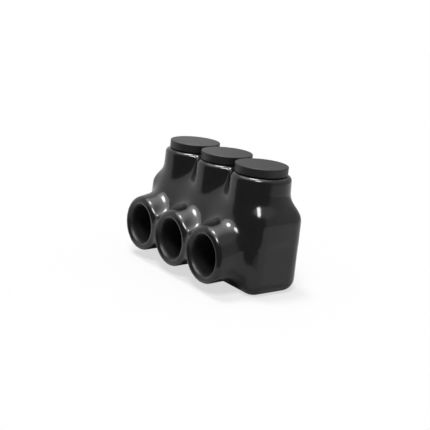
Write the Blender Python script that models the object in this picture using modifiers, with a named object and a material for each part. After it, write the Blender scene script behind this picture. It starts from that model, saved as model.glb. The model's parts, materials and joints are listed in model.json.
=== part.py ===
"""Insulated multi-tap connector, three ports on one side.

A tin-plated aluminium block has three conductor bores in its front and a
clamping screw over each. It sits in a black moulded cover with three port
tubes on its front and three towers on its top, and a plug closes each tower.

Metres, +Z up. The ports face -Y and the row runs along X. The origin is on
the flat underside, straight below the middle screw.
"""

import math

import bmesh
import bpy
import numpy as np

MM = 0.001
OBJECT_NAME = "insulated_multi_tap_connector"

# Row of bays: one port, one screw and one plug in each
BAYS = (-1, 0, 1)

# Clearances between pieces
SEAT_GAP = 0.3 * MM
THREAD_GAP = 0.3 * MM
SCREW_TIP_GAP = 0.45 * MM
PLUG_SPACING = 1.5 * MM

# Set screw, and the thinnest conductor that it clamps
SCREW_RADIUS = 7.95 * MM
SCREW_LENGTH = 15.9 * MM
SCREW_CHAMFER = 1.2 * MM
SOCKET_FLATS = 7.94 * MM
SOCKET_DEPTH = 8.0 * MM
SOCKET_CHAMFER = 0.5 * MM
THINNEST_CONDUCTOR = 4.8 * MM

# Connector block: walls around the conductor bores and the tapped holes
BORE_RADIUS = 7.95 * MM
BORE_CHAMFER = 0.7 * MM
BORE_FLOOR = 5.45 * MM
BORE_END_WALL = 2.0 * MM
DRILL_POINT = math.radians(31.0)
THREAD_LENGTH = 10.55 * MM
BLOCK_FRONT_WALL = 2.35 * MM
BLOCK_BACK_WALL = 4.25 * MM
BLOCK_END = 14.6 * MM
BLOCK_EDGE = 2.0 * MM

# Cover: box part
WALL = 2.8 * MM
FRONT_CORNER = 6.6 * MM
BACK_CORNER = 8.2 * MM
TOP_EDGE = 6.2 * MM
BOTTOM_EDGE = 5.7 * MM
BACK_SWELL = 0.5 * MM

# Cover: towers over the screws
TOWER_WALL = 4.1 * MM
TOWER_TAPER = 0.037
TOWER_EDGE = 2.2 * MM
TOOL_CLEARANCE = 1.75 * MM
WELL_ROOM = 4.75 * MM

# Cover: port tubes
TUBE_WALL = 4.05 * MM
TUBE_LENGTH = 15.15 * MM
TUBE_LIP = 1.8 * MM
TUBE_MOUTH_ROUNDING = 3.4 * MM
TUBE_RISE = 0.222
TUBE_UNDERCUT = 0.034
INSULATION_CLEARANCE = 0.65 * MM

# Cover: widths of the soft blends where its forms run together
SHOULDER_BLEND = 7.1 * MM
TUBE_ROOT_BLEND = 6.5 * MM
TUBE_CREST_BLEND = 5.0 * MM
TUBE_SOLE_BLEND = 4.0 * MM
TUBE_WEB_BLEND = 6.6 * MM
TUBE_VALLEY_BLEND = 17.0 * MM
TOWER_WEB_BLEND = 3.0 * MM
TOWER_VALLEY_BLEND = 15.0 * MM

# Access plug
PLUG_SEAT = 2.25 * MM
PLUG_THICKNESS = 3.7 * MM
PLUG_EDGE = 0.4 * MM
PLUG_STEM_LENGTH = 6.5 * MM
PLUG_WALL = 1.8 * MM
PLUG_RIB = 0.5 * MM
PLUG_RIB_COUNT = 2

# How far a cutter stands out of the face that it cuts
CUTTER_REACH = 3.0 * MM

# Fineness of the facets
BORE_SIDES = 40
SCREW_SIDES = 32
PLUG_SIDES = 36
EDGE_STEPS = 3
COVER_LEVELS = 1
SETTLE_ROUNDS = 12
FLAT_ANGLE = math.radians(0.6)

# Sizes across that follow from what goes in or on
TAPPED_RADIUS = SCREW_RADIUS + THREAD_GAP
TOWER_BORE = SCREW_RADIUS + TOOL_CLEARANCE
TOWER_RADIUS = TOWER_BORE + TOWER_WALL
PLUG_RADIUS = TOWER_BORE + PLUG_SEAT
PLUG_STEM_RADIUS = TOWER_BORE - SEAT_GAP - PLUG_RIB
TUBE_BORE = BORE_RADIUS + INSULATION_CLEARANCE
TUBE_RADIUS = TUBE_BORE + TUBE_WALL
PITCH = 2 * PLUG_RADIUS + PLUG_SPACING

# Block and cover walls, from the screw axes outwards
SHELL = WALL + SEAT_GAP
BLOCK_HALF_LENGTH = BAYS[-1] * PITCH + BLOCK_END
BLOCK_FRONT = -TAPPED_RADIUS - BLOCK_FRONT_WALL
BLOCK_BACK = TAPPED_RADIUS + BLOCK_BACK_WALL
HALF_LENGTH = BLOCK_HALF_LENGTH + SHELL
FRONT = BLOCK_FRONT - SHELL
BACK = BLOCK_BACK + SHELL
MOUTH = FRONT - TUBE_LENGTH

# Heights, from the underside up
BLOCK_BOTTOM = SHELL
BORE_BOTTOM = BLOCK_BOTTOM + BORE_FLOOR
PORT_AXIS = BORE_BOTTOM + BORE_RADIUS
BORE_TOP = PORT_AXIS + BORE_RADIUS
BLOCK_TOP = BORE_TOP + THREAD_LENGTH
SHOULDER = BLOCK_TOP + SHELL
SCREW_TIP = BORE_TOP + SCREW_TIP_GAP
LOWEST_SCREW_TIP = BORE_BOTTOM + THINNEST_CONDUCTOR
SCREW_TOP = SCREW_TIP + SCREW_LENGTH
PLUG_UNDERSIDE = SCREW_TOP + WELL_ROOM + PLUG_STEM_LENGTH
RIM = PLUG_UNDERSIDE - SEAT_GAP
TOWER_HEIGHT = RIM - SHOULDER


# Scene, materials and small helpers

def clear_scene():
    """Remove whatever objects the file opened with."""
    for obj in list(bpy.data.objects):
        bpy.data.objects.remove(obj, do_unlink=True)


def new_collection(name):
    """Add a collection under the scene's own."""
    collection = bpy.data.collections.new(name)
    bpy.context.scene.collection.children.link(collection)
    return collection


def material(name, color, roughness, metallic=0.0):
    """Principled material with one colour."""
    made = bpy.data.materials.new(name)
    made.use_nodes = True
    shader = made.node_tree.nodes["Principled BSDF"]
    shader.inputs["Base Color"].default_value = (*color, 1.0)
    shader.inputs["Roughness"].default_value = roughness
    shader.inputs["Metallic"].default_value = metallic
    made.diffuse_color = (*color, 1.0)
    return made


def object_from_bmesh(mesh_data, name, collection):
    """Turn a bmesh into a named object of a collection."""
    mesh = bpy.data.meshes.new(name)
    mesh_data.to_mesh(mesh)
    mesh_data.free()
    obj = bpy.data.objects.new(name, mesh)
    collection.objects.link(obj)
    return obj


def make_cutter(obj):
    """Mark an object as a tool: drawn as wire and left out of renders."""
    obj.hide_render = True
    obj.display_type = "WIRE"
    return obj


def cut(target, cutter):
    """Subtract one object from another."""
    modifier = target.modifiers.new(cutter.name, "BOOLEAN")
    modifier.operation = "DIFFERENCE"
    modifier.solver = "EXACT"
    modifier.object = cutter


def shade(obj, angle=math.radians(35)):
    """Shade a piece smooth, with its sharper edges kept."""
    obj.data.shade_smooth()
    obj.data.set_sharp_from_angle(angle=angle)


def turned(profile, name, sides, collection):
    """Turn a profile of (radius, height) points about Z.

    The profile runs from the axis at the top, down the outer side, and back
    to the axis.
    """
    mesh = bpy.data.meshes.new(name)
    points = [(radius, 0.0, height) for radius, height in profile]
    edges = [(i, i + 1) for i in range(len(points) - 1)]
    mesh.from_pydata(points, edges, [])
    obj = bpy.data.objects.new(name, mesh)
    collection.objects.link(obj)
    screw = obj.modifiers.new("turn", "SCREW")
    screw.axis = "Z"
    screw.steps = sides
    screw.render_steps = sides
    screw.use_merge_vertices = True
    screw.merge_threshold = 1e-6
    screw.use_smooth_shade = True
    return obj


def block_shape(grow, name, collection):
    """The block's rounded bar, with every face moved out by the same amount."""
    low = np.array([-BLOCK_HALF_LENGTH, BLOCK_FRONT, BLOCK_BOTTOM]) - grow
    high = np.array([BLOCK_HALF_LENGTH, BLOCK_BACK, BLOCK_TOP]) + grow
    bar = bmesh.new()
    bmesh.ops.create_cube(bar, size=1.0)
    bmesh.ops.scale(bar, vec=high - low, verts=bar.verts)
    bmesh.ops.translate(bar, vec=(low + high) / 2, verts=bar.verts)
    bmesh.ops.bevel(bar, geom=bar.edges[:], offset=BLOCK_EDGE + grow,
                    segments=EDGE_STEPS, profile=0.5, affect="EDGES")
    return object_from_bmesh(bar, name, collection)


# The cover's moulded form, as a distance that is zero on its surface

def soft_union(a, b, blend):
    """Smaller of two distances, rounded where they differ by under blend."""
    overlap = np.maximum(blend - np.abs(a - b), 0.0) / blend
    return np.minimum(a, b) - overlap * overlap * blend / 4


def soft_limit(a, b, blend):
    """Larger of two distances, rounded where they differ by under blend."""
    return -soft_union(-a, -b, blend)


def round_edge(side, end, radius):
    """Distance to the rounded edge where a side meets an end face."""
    u = side + radius
    v = end + radius
    outside = np.hypot(np.maximum(u, 0.0), np.maximum(v, 0.0))
    return outside + np.minimum(np.maximum(u, v), 0.0) - radius


def box_distance(x, y, z):
    """Box part: an upright rounded rectangle with rounded top and bottom."""
    middle = (FRONT + BACK) / 2
    corner = np.where(y < middle, FRONT_CORNER, BACK_CORNER)
    across = np.abs(x) - (HALF_LENGTH - corner)
    along = np.abs(y - middle) - ((BACK - FRONT) / 2 - corner)
    outside = np.hypot(np.maximum(across, 0.0), np.maximum(along, 0.0))
    side = outside + np.minimum(np.maximum(across, along), 0.0) - corner
    top = round_edge(side, z - SHOULDER, TOP_EDGE)
    bottom = round_edge(side, -z, BOTTOM_EDGE)
    return np.maximum(top, bottom)


def tower_web(z):
    """Width of the blend between two towers, wider towards their feet."""
    depth = np.clip((RIM - z) / (TOWER_HEIGHT + TOWER_EDGE), 0.0, 1.0)
    return TOWER_WEB_BLEND + (TOWER_VALLEY_BLEND - TOWER_WEB_BLEND) * depth ** 1.5


def tower_distance(x, y, z):
    """Row of tapered towers, webbed together more the lower they are."""
    web = tower_web(z)
    radius = TOWER_RADIUS + TOWER_TAPER * (RIM - z)
    row = None
    for bay in BAYS:
        side = np.hypot(x - bay * PITCH, y) - radius
        row = side if row is None else soft_union(row, side, web)
    foot = SHOULDER - 1.5 * SHOULDER_BLEND
    return np.maximum(round_edge(row, z - RIM, TOWER_EDGE), foot - z)


def tube_web(y, z):
    """Width of the blend between two tubes, wider towards the body on top."""
    inward = np.clip((y - MOUTH) / TUBE_LENGTH, 0.0, 1.0) ** 1.5
    upward = np.clip((z - PORT_AXIS) / TUBE_RADIUS, 0.0, 1.0)
    return TUBE_WEB_BLEND + (TUBE_VALLEY_BLEND - TUBE_WEB_BLEND) * inward * upward


def tube_root(z):
    """Width of the blend between the tubes and the body.

    It is widest beside the tubes, and narrower on top and near the underside.
    """
    upward = np.clip((z - PORT_AXIS) / TUBE_RADIUS, 0.0, 1.0)
    downward = np.clip((PORT_AXIS - z) / PORT_AXIS, 0.0, 1.0)
    return (TUBE_ROOT_BLEND + (TUBE_CREST_BLEND - TUBE_ROOT_BLEND) * upward
            + (TUBE_SOLE_BLEND - TUBE_ROOT_BLEND) * downward ** 2)


def tube_distance(x, y, z):
    """Row of port tubes, whose tops rise and undersides dip to the body."""
    height = z - PORT_AXIS
    reach = np.maximum(y - MOUTH, 0.0)
    web = tube_web(y, z)
    row = None
    for bay in BAYS:
        distance = np.hypot(x - bay * PITCH, height)
        upward = np.clip(height / np.maximum(distance, 1e-9), 0.0, 1.0)
        flare = (TUBE_RISE + TUBE_UNDERCUT) * upward ** 1.5 - TUBE_UNDERCUT
        side = distance - (TUBE_RADIUS + flare * reach)
        row = side if row is None else soft_union(row, side, web)
    return np.maximum(round_edge(row, MOUTH - y, TUBE_LIP), y)


def cover_distance(points):
    """Distance from points to the cover's outer surface."""
    x, y, z = points.T
    body = soft_union(box_distance(x, y, z), tower_distance(x, y, z),
                      SHOULDER_BLEND)
    body = soft_limit(body, y - BACK - BACK_SWELL, BACK_SWELL)
    return soft_union(body, tube_distance(x, y, z), tube_root(z))


def settle(points):
    """Move points straight onto the cover's surface."""
    step = 0.01 * MM
    for _ in range(SETTLE_ROUNDS):
        distance = cover_distance(points)
        slope = np.empty_like(points)
        for axis in range(3):
            offset = np.zeros(3)
            offset[axis] = step
            ahead = cover_distance(points + offset)
            behind = cover_distance(points - offset)
            slope[:, axis] = (ahead - behind) / (2 * step)
        steepness = np.maximum((slope ** 2).sum(axis=1), 0.25)
        points = points - slope * (distance / steepness)[:, None]
    return points


# Coarse cage of the cover: rings of points that are joined by bands of faces

COLUMN_SPREAD = 0.3 * PITCH
INNER_COLUMNS = sorted(
    [bay * PITCH for bay in BAYS]
    + [bay * PITCH + COLUMN_SPREAD for bay in BAYS[:-1]]
    + [bay * PITCH - COLUMN_SPREAD for bay in BAYS[1:]]
    + [(bay + 0.5) * PITCH for bay in BAYS[:-1]])


def crown(x):
    """1 over a bay's axis, 0 half way between two bays."""
    nearest = min(abs(x - bay * PITCH) for bay in BAYS)
    return max(0.0, 1.0 - nearest / (PITCH / 2))


def lobe_height(x, radius, web):
    """Half width of a row of round lobes at one column of the cage."""
    nearest = min(abs(x - bay * PITCH) for bay in BAYS)
    if nearest > 1.5 * COLUMN_SPREAD:
        radius = radius + web / 4
    return math.sqrt(max(radius ** 2 - nearest ** 2, (0.35 * radius) ** 2))


def lobe_side(radius, end_angles, web):
    """Front side of a row of lobes, and the points round its right end."""
    outer = BAYS[-1] * PITCH
    end = [(outer + radius(angle) * math.cos(angle),
            -radius(angle) * math.sin(angle)) for angle in end_angles]
    tall = radius(math.pi / 2)
    side = [(x, -lobe_height(x, tall, web)) for x in INNER_COLUMNS]
    return [(-end[0][0], end[0][1])] + side + end[:1], end[1:]


def lobe_row(radius, end_angles, web, rise=0.0):
    """Outline of the row: front side, right end, back side, left end.

    The front side's lobes stand up to a rise further out than the others.
    """
    front, near = lobe_side(lambda angle: radius + rise * math.sin(angle) ** 1.5,
                            end_angles, web)
    back, far = lobe_side(lambda angle: radius, end_angles, web)
    right = near + [(BAYS[-1] * PITCH + radius, 0.0)]
    right += [(x, -y) for x, y in reversed(far)]
    left = [(-x, y) for x, y in reversed(right)]
    return front + right + [(x, -y) for x, y in reversed(back)] + left


def box_row(inset=0.0, slide=0.0):
    """Outline of the box part: front side, right end, back side, left end.

    The outline lies an inset inside the walls. Slide is the share of the way
    round the front corners at which the front side stops.
    """
    middle = 1 - math.sqrt(0.5)
    length = HALF_LENGTH - inset
    back_y = BACK - inset
    front_corner = FRONT_CORNER - inset
    back_corner = BACK_CORNER - inset
    turns = [math.pi / 2 * share for share in (slide, (1 + slide) / 2, 1.0)]
    around = [(length - front_corner * (1 - math.sin(turn)),
               FRONT + inset + front_corner * (1 - math.cos(turn)))
              for turn in turns]
    edge = around[0]
    front = [(-edge[0], edge[1])]
    front += [(x, FRONT + inset) for x in INNER_COLUMNS] + [edge]
    right = around[1:] + [
        (length, 0.0),
        (length, back_y - back_corner),
        (length - back_corner * middle, back_y - back_corner * middle),
    ]
    edge = HALF_LENGTH - BACK_CORNER
    back = [(x, back_y) for x in [edge] + INNER_COLUMNS[::-1] + [-edge]]
    left = [(-x, y) for x, y in reversed(right)]
    return front + right + back + left


class Cage:
    """Points and faces of the coarse cage while it is put together."""

    def __init__(self):
        self.points = []
        self.faces = []

    def ring(self, points):
        start = len(self.points)
        self.points.extend(points)
        return list(range(start, len(self.points)))

    def band(self, upper, lower, closed=True):
        count = len(upper)
        for i in range(count if closed else count - 1):
            j = (i + 1) % count
            self.faces.append((upper[i], lower[i], lower[j], upper[j]))

    def fill(self, ring, side_count, reverse=False):
        """Fill a ring with a grid: columns join its front to its back."""
        width = len(ring) // 2 - side_count
        front = ring[:width]
        right = ring[width:width + side_count]
        back = ring[width + side_count:2 * width + side_count][::-1]
        left = ring[2 * width + side_count:][::-1]
        rows = [front]
        for k in range(side_count):
            share = (k + 1) / (side_count + 1)
            middle = []
            for i in range(1, width - 1):
                a = np.array(self.points[front[i]])
                b = np.array(self.points[back[i]])
                middle.append(tuple(a + (b - a) * share))
            rows.append([left[k]] + self.ring(middle) + [right[k]])
        rows.append(back)
        for low, high in zip(rows, rows[1:]):
            for i in range(width - 1):
                face = (low[i], low[i + 1], high[i + 1], high[i])
                self.faces.append(face[::-1] if reverse else face)


SIDE_POINTS = 5
MOUTH_SIDE_POINTS = 3
TOWER_END_ANGLES = [math.radians(a) for a in (67.5, 45.0, 22.5)]
TUBE_END_ANGLES = [math.radians(a) for a in (60.0, 30.0)]


def cover_cage():
    """Cage of the cover, from the tower rims down and out to the mouths."""
    cage = Cage()
    width = len(INNER_COLUMNS) + 2

    # Towers: radius and height over the shoulder of each ring
    tower_rings = (
        (TOWER_RADIUS - 2 * TOWER_EDGE, TOWER_HEIGHT),
        (TOWER_RADIUS - TOWER_EDGE, TOWER_HEIGHT),
        (TOWER_RADIUS, TOWER_HEIGHT - TOWER_EDGE),
        (TOWER_RADIUS, SHOULDER_BLEND),
    )
    rings = []
    for radius, height in tower_rings:
        web = float(tower_web(SHOULDER + height))
        outline = lobe_row(radius, TOWER_END_ANGLES, web)
        rings.append(cage.ring([(x, y, SHOULDER + height) for x, y in outline]))
    cage.fill(rings[0], SIDE_POINTS)

    # Shoulder: share of the way out, height, and extra height at a bay's front
    tower = lobe_row(TOWER_RADIUS, TOWER_END_ANGLES, float(tower_web(SHOULDER)))
    body = box_row()
    shoulder_rings = ((0.3, 0.35, 0.3), (0.8, -0.1, 0.45), (1.0, -0.85, 0.95))
    for share, height, lift in shoulder_rings:
        points = []
        for i, ((tx, ty), (bx, by)) in enumerate(zip(tower, body)):
            rise = height + (lift * crown(tx) if i < width else 0.0)
            points.append((tx + (bx - tx) * share, ty + (by - ty) * share,
                           SHOULDER + rise * SHOULDER_BLEND))
        rings.append(cage.ring(points))
    for upper, lower in zip(rings, rings[1:]):
        cage.band(upper, lower)
    wall_top = rings[-1]

    # Bottom edge: each ring is a share of the way round the rounding
    bottom_rings = []
    for share, dip in ((0.0, 0.6), (0.5, 0.3), (1.0, 0.0)):
        points = []
        for i, (x, y) in enumerate(body):
            depth = max(math.sqrt(crown(x)), 0.6 * (i in (0, width - 1)))
            turn = share + (dip * depth if i < width else 0.0)
            angle = turn * math.pi / 2
            inset = BOTTOM_EDGE * (1 - math.cos(angle))
            inner_x, inner_y = box_row(inset)[i]
            points.append((inner_x, inner_y, BOTTOM_EDGE * (1 - math.sin(angle))))
        bottom_rings.append(cage.ring(points))
    for upper, lower in zip(bottom_rings, bottom_rings[1:]):
        cage.band(upper, lower)
    cage.fill(bottom_rings[-1], SIDE_POINTS, reverse=True)
    wall_bottom = bottom_rings[0]

    # Ends and back: all of the outline but its front side
    wall = list(range(width - 1, len(body))) + [0]
    tube_end = [TUBE_RADIUS * math.sin(a) for a in TUBE_END_ANGLES[1:]]
    levels = [PORT_AXIS + h for h in tube_end] + [PORT_AXIS]
    levels += [PORT_AXIS - h for h in reversed(tube_end)]
    rows = [[wall_top[i] for i in wall]]
    for level, slide in zip(levels, (0.45, 0.6, 0.45)):
        outline = box_row(slide=slide)
        rows.append(cage.ring([(*outline[i], level) for i in wall]))
    rows.append([wall_bottom[i] for i in wall])
    for upper, lower in zip(rows, rows[1:]):
        cage.band(upper, lower, closed=False)

    # Front: the wall's own outline, then the tubes out to their mouths
    outline = wall_top[:width]
    outline += [row[0] for row in rows[1:-1]]
    outline += wall_bottom[:width][::-1]
    outline += [row[-1] for row in rows[1:-1]][::-1]
    previous = outline
    root = TUBE_LENGTH / 4
    stations = (
        (0.6 * root, -0.1 * root),
        (0.15 * root, 0.4 * root),
        (0.0, 1.1 * root),
        (0.0, TUBE_LENGTH - TUBE_LIP),
        (-TUBE_LIP, TUBE_LENGTH),
        (-1.5 * TUBE_LIP, TUBE_LENGTH),
    )
    for grow, reach in stations:
        row = lobe_row(TUBE_RADIUS + grow, TUBE_END_ANGLES, TUBE_WEB_BLEND,
                       TUBE_RISE * (TUBE_LENGTH - reach))
        ring = cage.ring([(x, FRONT - reach, PORT_AXIS - drop) for x, drop in row])
        cage.band(previous, ring)
        previous = ring
    cage.fill(previous, MOUTH_SIDE_POINTS, reverse=True)
    return cage


def cover_outside(collection):
    """The cover without its hollows: the cage, split and settled."""
    cage = cover_cage()
    mesh = bpy.data.meshes.new("insulation_cover")
    mesh.from_pydata(cage.points, [], cage.faces)
    obj = bpy.data.objects.new("insulation_cover", mesh)
    collection.objects.link(obj)
    split = obj.modifiers.new("split", "SUBSURF")
    split.subdivision_type = "SIMPLE"
    split.levels = COVER_LEVELS
    split.render_levels = COVER_LEVELS
    graph = bpy.context.evaluated_depsgraph_get()
    fine = bpy.data.meshes.new_from_object(obj.evaluated_get(graph))
    obj.modifiers.clear()
    points = np.empty(len(fine.vertices) * 3)
    fine.vertices.foreach_get("co", points)
    fine.vertices.foreach_set("co", settle(points.reshape(-1, 3)).ravel())
    form = bmesh.new()
    form.from_mesh(fine)
    bmesh.ops.dissolve_limit(form, angle_limit=FLAT_ANGLE, verts=form.verts,
                             edges=form.edges)
    form.to_mesh(obj.data)
    form.free()
    bpy.data.meshes.remove(fine)
    return obj


def tube_bore_profile():
    """Bore of a port tube: from inside the cavity out past the rounded mouth."""
    start = 2 * SEAT_GAP + WALL
    length = TUBE_LENGTH + start
    turns = [math.radians(angle) for angle in (80.0, 60.0, 40.0, 20.0)]
    lip = [(TUBE_BORE + TUBE_MOUTH_ROUNDING * (1 - math.cos(turn)),
            length - TUBE_MOUTH_ROUNDING * (1 - math.sin(turn)))
           for turn in turns]
    outer = TUBE_BORE + TUBE_MOUTH_ROUNDING
    profile = [(0.0, length + CUTTER_REACH), (outer, length + CUTTER_REACH)]
    profile += lip
    profile += [(TUBE_BORE, length - TUBE_MOUTH_ROUNDING),
                (TUBE_BORE, 0.0), (0.0, 0.0)]
    return profile, FRONT + start


def insulation_cover(parts, cutters):
    """Moulded cover: one thick-walled shell with every port and tower open."""
    cover = cover_outside(parts)
    cavity = block_shape(SEAT_GAP, "cavity_cutter", cutters)
    cut(cover, make_cutter(cavity))
    profile, start = tube_bore_profile()
    for bay in BAYS:
        port = turned(profile, f"port_cutter_{bay + 2}", BORE_SIDES, cutters)
        port.rotation_euler = (math.pi / 2, 0.0, 0.0)
        port.location = (bay * PITCH, start, PORT_AXIS)
        cut(cover, make_cutter(port))
        inside = BLOCK_TOP - BLOCK_EDGE
        top = RIM - inside + CUTTER_REACH
        well = turned([(0.0, top), (TOWER_BORE, top), (TOWER_BORE, 0.0), (0.0, 0.0)],
                      f"well_cutter_{bay + 2}", BORE_SIDES, cutters)
        well.location = (bay * PITCH, 0.0, inside)
        cut(cover, make_cutter(well))
    cover.data.materials.append(
        material("black_moulded_cover", (0.012, 0.012, 0.012), 0.22))
    shade(cover)
    return cover


# Connector block, screws and plugs

def connector_block(parts, cutters):
    """Aluminium bar, drilled from the front and tapped from the top."""
    block = block_shape(0.0, "connector_block", parts)
    depth = BLOCK_BACK - BLOCK_FRONT - BORE_END_WALL
    point = BORE_RADIUS * math.tan(DRILL_POINT)
    bore_profile = [
        (0.0, depth + CUTTER_REACH),
        (BORE_RADIUS + BORE_CHAMFER, depth + CUTTER_REACH),
        (BORE_RADIUS + BORE_CHAMFER, depth),
        (BORE_RADIUS, depth - BORE_CHAMFER),
        (BORE_RADIUS, point),
        (0.0, 0.0),
    ]
    hole_bottom = LOWEST_SCREW_TIP - 2 * SEAT_GAP
    hole_profile = [
        (0.0, BLOCK_TOP + CUTTER_REACH),
        (TAPPED_RADIUS + BORE_CHAMFER, BLOCK_TOP + CUTTER_REACH),
        (TAPPED_RADIUS + BORE_CHAMFER, BLOCK_TOP),
        (TAPPED_RADIUS, BLOCK_TOP - BORE_CHAMFER),
        (TAPPED_RADIUS, hole_bottom),
        (0.0, hole_bottom),
    ]
    for bay in BAYS:
        bore = turned(bore_profile, f"bore_cutter_{bay + 2}", BORE_SIDES, cutters)
        bore.rotation_euler = (math.pi / 2, 0.0, 0.0)
        bore.location = (bay * PITCH, BLOCK_FRONT + depth, PORT_AXIS)
        cut(block, make_cutter(bore))
        hole = turned(hole_profile, f"hole_cutter_{bay + 2}", BORE_SIDES, cutters)
        hole.location = (bay * PITCH, 0.0, 0.0)
        cut(block, make_cutter(hole))
    block.data.materials.append(
        material("tin_plated_aluminium", (0.72, 0.72, 0.70), 0.32, 1.0))
    shade(block)
    return block


def set_screw(bay, finish, parts, cutters):
    """Socket set screw, backed out to just clear of the conductor bore."""
    inner = SCREW_RADIUS - SCREW_CHAMFER
    screw = turned([
        (0.0, SCREW_LENGTH),
        (inner, SCREW_LENGTH),
        (SCREW_RADIUS, SCREW_LENGTH - SCREW_CHAMFER),
        (SCREW_RADIUS, SCREW_CHAMFER),
        (inner, 0.0),
        (0.0, 0.0),
    ], f"set_screw_{bay + 2}", SCREW_SIDES, parts)
    screw.location = (bay * PITCH, 0.0, SCREW_TIP)
    corner = SOCKET_FLATS / math.sqrt(3)
    hexagon = bmesh.new()
    bmesh.ops.create_cone(hexagon, cap_ends=True, segments=6, radius1=corner,
                          radius2=corner, depth=2 * SOCKET_DEPTH)
    socket = object_from_bmesh(hexagon, f"socket_cutter_{bay + 2}", cutters)
    socket.location = (bay * PITCH, 0.0, SCREW_TOP)
    cut(screw, make_cutter(socket))
    mouth = corner + SOCKET_CHAMFER
    chamfer = turned([
        (0.0, SOCKET_CHAMFER),
        (mouth, SOCKET_CHAMFER),
        (corner - SOCKET_CHAMFER, -SOCKET_CHAMFER),
        (0.0, -SOCKET_CHAMFER),
    ], f"socket_chamfer_{bay + 2}", SCREW_SIDES, cutters)
    chamfer.location = socket.location
    cut(screw, make_cutter(chamfer))
    screw.data.materials.append(finish)
    return screw


def access_plug(bay, finish, parts):
    """Plug of a tower: a flat disc with a hollow ribbed stem under it."""
    top = PLUG_THICKNESS
    bottom = -PLUG_STEM_LENGTH
    inner = PLUG_STEM_RADIUS - PLUG_WALL
    profile = [
        (0.0, top),
        (PLUG_RADIUS - PLUG_EDGE, top),
        (PLUG_RADIUS, top - PLUG_EDGE),
        (PLUG_RADIUS, 0.0),
        (PLUG_STEM_RADIUS, 0.0),
    ]
    spacing = PLUG_STEM_LENGTH / (PLUG_RIB_COUNT + 1)
    for rib in range(PLUG_RIB_COUNT):
        crest = -spacing * (rib + 1)
        profile += [(PLUG_STEM_RADIUS, crest + 2 * PLUG_RIB),
                    (PLUG_STEM_RADIUS + PLUG_RIB, crest),
                    (PLUG_STEM_RADIUS, crest - PLUG_RIB)]
    profile += [
        (PLUG_STEM_RADIUS, bottom + PLUG_RIB),
        (PLUG_STEM_RADIUS - PLUG_RIB, bottom),
        (inner, bottom),
        (inner, 0.0),
        (0.0, 0.0),
    ]
    plug = turned(profile, f"access_plug_{bay + 2}", PLUG_SIDES, parts)
    plug.location = (bay * PITCH, 0.0, PLUG_UNDERSIDE)
    plug.data.materials.append(finish)
    return plug


def main():
    clear_scene()
    parts = new_collection(OBJECT_NAME)
    cutters = new_collection("cutters")
    insulation_cover(parts, cutters)
    connector_block(parts, cutters)
    zinc = material("zinc_plated_steel", (0.60, 0.60, 0.58), 0.35, 1.0)
    rubber = material("black_plug", (0.055, 0.055, 0.055), 0.65)
    for bay in BAYS:
        set_screw(bay, zinc, parts, cutters)
        access_plug(bay, rubber, parts)


main()
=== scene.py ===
# %% [markdown]
# # An insulated multi-tap connector, dressed for its photograph
# The real object joins up to three cables. A metal block with three bores and three clamping screws sits
# in one thick black moulding, and a matte plug closes the way to each screw. The working parts come from
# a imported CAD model, which this script loads and never moves. What is added here is the look: the smooth
# skin of the moulding, the threads of the screws, the finishes, the light and the camera.

# %% Load the frame
import json
import math

import bmesh
import bpy
import numpy as np
from mathutils import Matrix, Vector

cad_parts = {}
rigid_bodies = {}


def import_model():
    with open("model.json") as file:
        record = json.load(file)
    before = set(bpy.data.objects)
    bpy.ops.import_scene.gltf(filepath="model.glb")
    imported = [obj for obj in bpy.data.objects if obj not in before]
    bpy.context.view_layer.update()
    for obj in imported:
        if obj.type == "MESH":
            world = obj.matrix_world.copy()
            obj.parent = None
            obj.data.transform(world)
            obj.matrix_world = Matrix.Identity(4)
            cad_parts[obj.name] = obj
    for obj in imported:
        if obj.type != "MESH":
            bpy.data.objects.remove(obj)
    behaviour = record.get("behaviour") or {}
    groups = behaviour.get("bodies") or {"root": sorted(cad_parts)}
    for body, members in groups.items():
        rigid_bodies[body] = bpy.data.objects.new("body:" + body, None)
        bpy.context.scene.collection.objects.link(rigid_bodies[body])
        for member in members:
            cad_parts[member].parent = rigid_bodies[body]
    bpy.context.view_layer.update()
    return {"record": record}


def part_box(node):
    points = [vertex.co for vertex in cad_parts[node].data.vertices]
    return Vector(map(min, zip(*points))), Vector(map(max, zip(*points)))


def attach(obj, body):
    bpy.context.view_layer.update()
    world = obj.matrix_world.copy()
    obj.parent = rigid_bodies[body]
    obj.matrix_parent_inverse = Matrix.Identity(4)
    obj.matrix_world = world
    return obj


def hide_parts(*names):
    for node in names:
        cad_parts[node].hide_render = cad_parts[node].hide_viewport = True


for leftover in list(bpy.data.objects):
    bpy.data.objects.remove(leftover, do_unlink=True)
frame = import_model()

# %% [markdown]
# ## Sizes, read from the frame
# Every new piece has to sit where its CAD node is. So a size that the box of a node can tell isn't typed
# again, but read from there. The ports and towers stand in three bays along X, one pitch apart. The
# ports open towards -Y, and the screws run down from the top.

# %% Sizes from the nodes
MM = 0.001
BAYS = (-1, 0, 1)


def node_box(node):
    """Lowest and highest corner of a CAD node, as arrays."""
    return [np.array(corner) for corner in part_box(node)]


def opening_box(name):
    """Lowest and highest corner of one of the record's openings."""
    openings = frame["record"]["physics"]["openings"]
    return np.array(next(o["box_m"] for o in openings if o["name"] == name))


cover_low, cover_high = node_box("insulation_cover")
block_low, block_high = node_box("connector_block")
screw_low, screw_high = node_box("set_screw_2")
plug_low, plug_high = node_box("access_plug_2")
PITCH = node_box("access_plug_3")[1][0] - plug_high[0]
PORT_AXIS = opening_box("conductor_bore_2")[:, 2].mean()
WALL = block_low[2] - cover_low[2]
HALF_LENGTH = block_high[0] + WALL
FRONT = block_low[1] - WALL
BACK = block_high[1] + WALL
SHOULDER = block_high[2] + WALL
MOUTH = cover_low[1]
RIM = cover_high[2]
BAY_CENTRES = PITCH * np.array(BAYS)
print(f"pitch {PITCH / MM:.2f} mm, port axis {PORT_AXIS / MM:.2f} mm, rim {RIM / MM:.2f} mm")

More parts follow.
